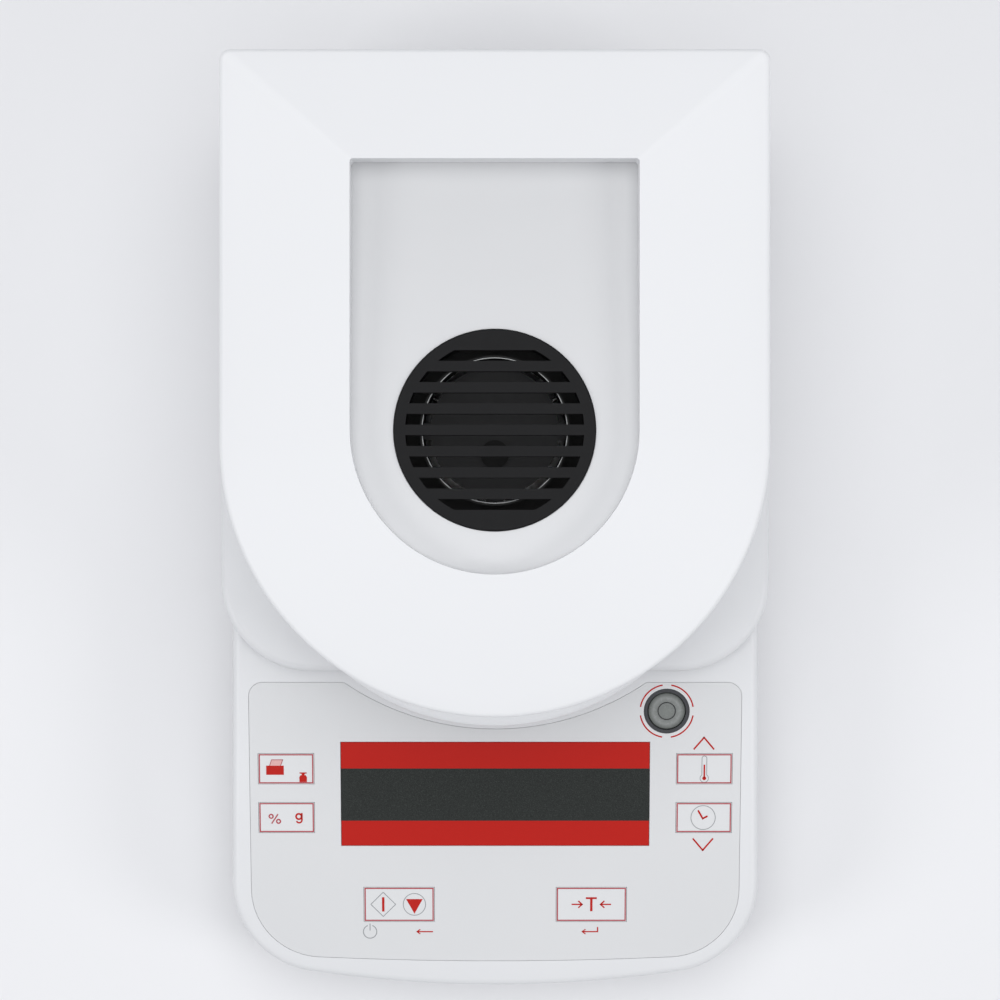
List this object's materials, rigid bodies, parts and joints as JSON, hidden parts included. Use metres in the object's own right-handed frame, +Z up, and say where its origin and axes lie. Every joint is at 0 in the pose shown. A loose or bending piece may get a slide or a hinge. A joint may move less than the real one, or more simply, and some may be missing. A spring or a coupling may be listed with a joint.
{
  "type": "moisture_analyzer",
  "caption": "Halogen moisture analyzer: low balance housing with sloped key panel and display, and a D-shaped heating hood hinged at the rear over the pan",
  "frame": {"origin": "On the table below the middle of the instrument, at the bottom centre of its box", "axes": "+X right, +Y towards the back, +Z up"},
  "size_m": [0.168, 0.282, 0.13],
  "materials": {
    "housing_plastic": "Fine moulded texture, light grey white",
    "hood_plastic": "Smooth semi-gloss white, heat resistant",
    "overlay_film": "Pale grey printed membrane film",
    "display_window": "Clear window with a red printed band and a dark field",
    "key_film": "Pale grey key faces with thin red outlines",
    "black_plastic": "Heat resistant black moulding",
    "dark_plastic": "Dark grey connector and fitting plastic",
    "stainless": "Brushed stainless sheet",
    "bright_steel": "Polished reflector and bright zinc screws",
    "cell_aluminium": "Machined aluminium",
    "pan_aluminium": "Thin drawn aluminium",
    "circuit_board": "Green solder mask",
    "core_steel": "Varnished transformer core and steel mount",
    "foot_rubber": "Black rubber",
    "ceramic": "White ceramic and mineral fibre",
    "level_glass": "Glass vial with a dark circle and a bubble"
  },
  "bodies": {
    "base": {"board_screws": "bright_steel", "chamber_bowl": "stainless", "chamber_well": "black_plastic", "display_lens": "display_window", "draft_ring": "stainless", "front_feet": "foot_rubber", "hinge_knuckles": "black_plastic", "hood_bumpers": "foot_rubber", "housing_screws": "bright_steel", "insulation_plate": "ceramic", "keypad_board": "circuit_board", "keypad_overlay": "overlay_film", "lcd_module": "dark_plastic", "level_cup": "dark_plastic", "level_vial": "level_glass", "load_cell": "cell_aluminium", "load_cell_mount": "core_steel", "load_cell_screws": "bright_steel", "lower_housing": "housing_plastic", "main_board": "circuit_board", "mains_inlet": "black_plastic", "overload_stop": "core_steel", "power_board": "circuit_board", "reed_sensor": "dark_plastic", "serial_port": "dark_plastic", "transformer": "core_steel", "triac_heatsink": "cell_aluminium", "upper_housing": "housing_plastic"},
    "platform": {"spindle_bracket": "cell_aluminium", "pan_support": "stainless"},
    "pan": {"sample_pan": "pan_aluminium", "pan_lifter": "stainless"},
    "hood": {"hood_shell": "hood_plastic", "vent_grille": "black_plastic", "hood_liner": "stainless", "reflector": "bright_steel", "vent_chimney": "bright_steel", "vent_baffle": "black_plastic", "heater_ring": "core_steel", "heater_posts": "ceramic", "heater_guard": "bright_steel", "temperature_probe": "stainless", "thermostat": "dark_plastic", "hood_brackets": "core_steel", "hinge_pins": "bright_steel", "hood_magnet": "core_steel", "hood_screws": "bright_steel"},
    "print_button": {"print_key": "key_film"},
    "unit_button": {"unit_key": "key_film"},
    "temperature_button": {"temperature_key": "key_film"},
    "time_button": {"time_key": "key_film"},
    "start_button": {"start_key": "key_film"},
    "tare_button": {"tare_key": "key_film"},
    "left_foot": {"foot_pad_left": "foot_rubber"},
    "left_thumb_screw": {"foot_screw_left": "black_plastic"},
    "right_foot": {"foot_pad_right": "foot_rubber"},
    "right_thumb_screw": {"foot_screw_right": "black_plastic"}
  },
  "joints": [
    {"name": "hood_hinge", "type": "hinge", "parent": "base", "child": "hood", "pos_m": [0, 0.1345, 0.0669], "axis": [-1, 0, 0], "range_deg": [0, 95]},
    {"name": "platform_deflection", "type": "slide", "parent": "base", "child": "platform", "axis": [0, 0, -1], "range_m": [0, 0.0004], "stiffness_N_per_m": 20000, "deforming": ["load_cell"]},
    {"name": "pan_lift", "type": "slide", "parent": "platform", "child": "pan", "axis": [0, 0, 1], "range_m": [0, 0.01]},
    {"name": "print_press", "type": "slide", "parent": "base", "child": "print_button", "axis": [0, 0.1513, -0.9885], "range_m": [0, 0.0005], "stiffness_N_per_m": 400, "springref_m": -0.0008},
    {"name": "unit_press", "type": "slide", "parent": "base", "child": "unit_button", "axis": [0, 0.1513, -0.9885], "range_m": [0, 0.0005], "stiffness_N_per_m": 400, "springref_m": -0.0008},
    {"name": "temperature_press", "type": "slide", "parent": "base", "child": "temperature_button", "axis": [0, 0.1513, -0.9885], "range_m": [0, 0.0005], "stiffness_N_per_m": 400, "springref_m": -0.0008},
    {"name": "time_press", "type": "slide", "parent": "base", "child": "time_button", "axis": [0, 0.1513, -0.9885], "range_m": [0, 0.0005], "stiffness_N_per_m": 400, "springref_m": -0.0008},
    {"name": "start_press", "type": "slide", "parent": "base", "child": "start_button", "axis": [0, 0.1513, -0.9885], "range_m": [0, 0.0005], "stiffness_N_per_m": 400, "springref_m": -0.0008},
    {"name": "tare_press", "type": "slide", "parent": "base", "child": "tare_button", "axis": [0, 0.1513, -0.9885], "range_m": [0, 0.0005], "stiffness_N_per_m": 400, "springref_m": -0.0008},
    {"name": "left_foot_lift", "type": "slide", "parent": "base", "child": "left_foot", "axis": [0, 0, -1], "range_m": [0, 0.004]},
    {"name": "left_foot_turn", "type": "hinge", "parent": "left_foot", "child": "left_thumb_screw", "pos_m": [-0.066, 0.119, 0.006], "axis": [0, 0, -1], "range_deg": [0, 1440.1]},
    {"name": "right_foot_lift", "type": "slide", "parent": "base", "child": "right_foot", "axis": [0, 0, -1], "range_m": [0, 0.004]},
    {"name": "right_foot_turn", "type": "hinge", "parent": "right_foot", "child": "right_thumb_screw", "pos_m": [0.066, 0.119, 0.006], "axis": [0, 0, -1], "range_deg": [0, 1440.1]}
  ],
  "couplings": [
    {"joint": "left_foot_turn", "follows": "left_foot_lift", "rad_per_m": 6283.2},
    {"joint": "right_foot_turn", "follows": "right_foot_lift", "rad_per_m": 6283.2}
  ]
}
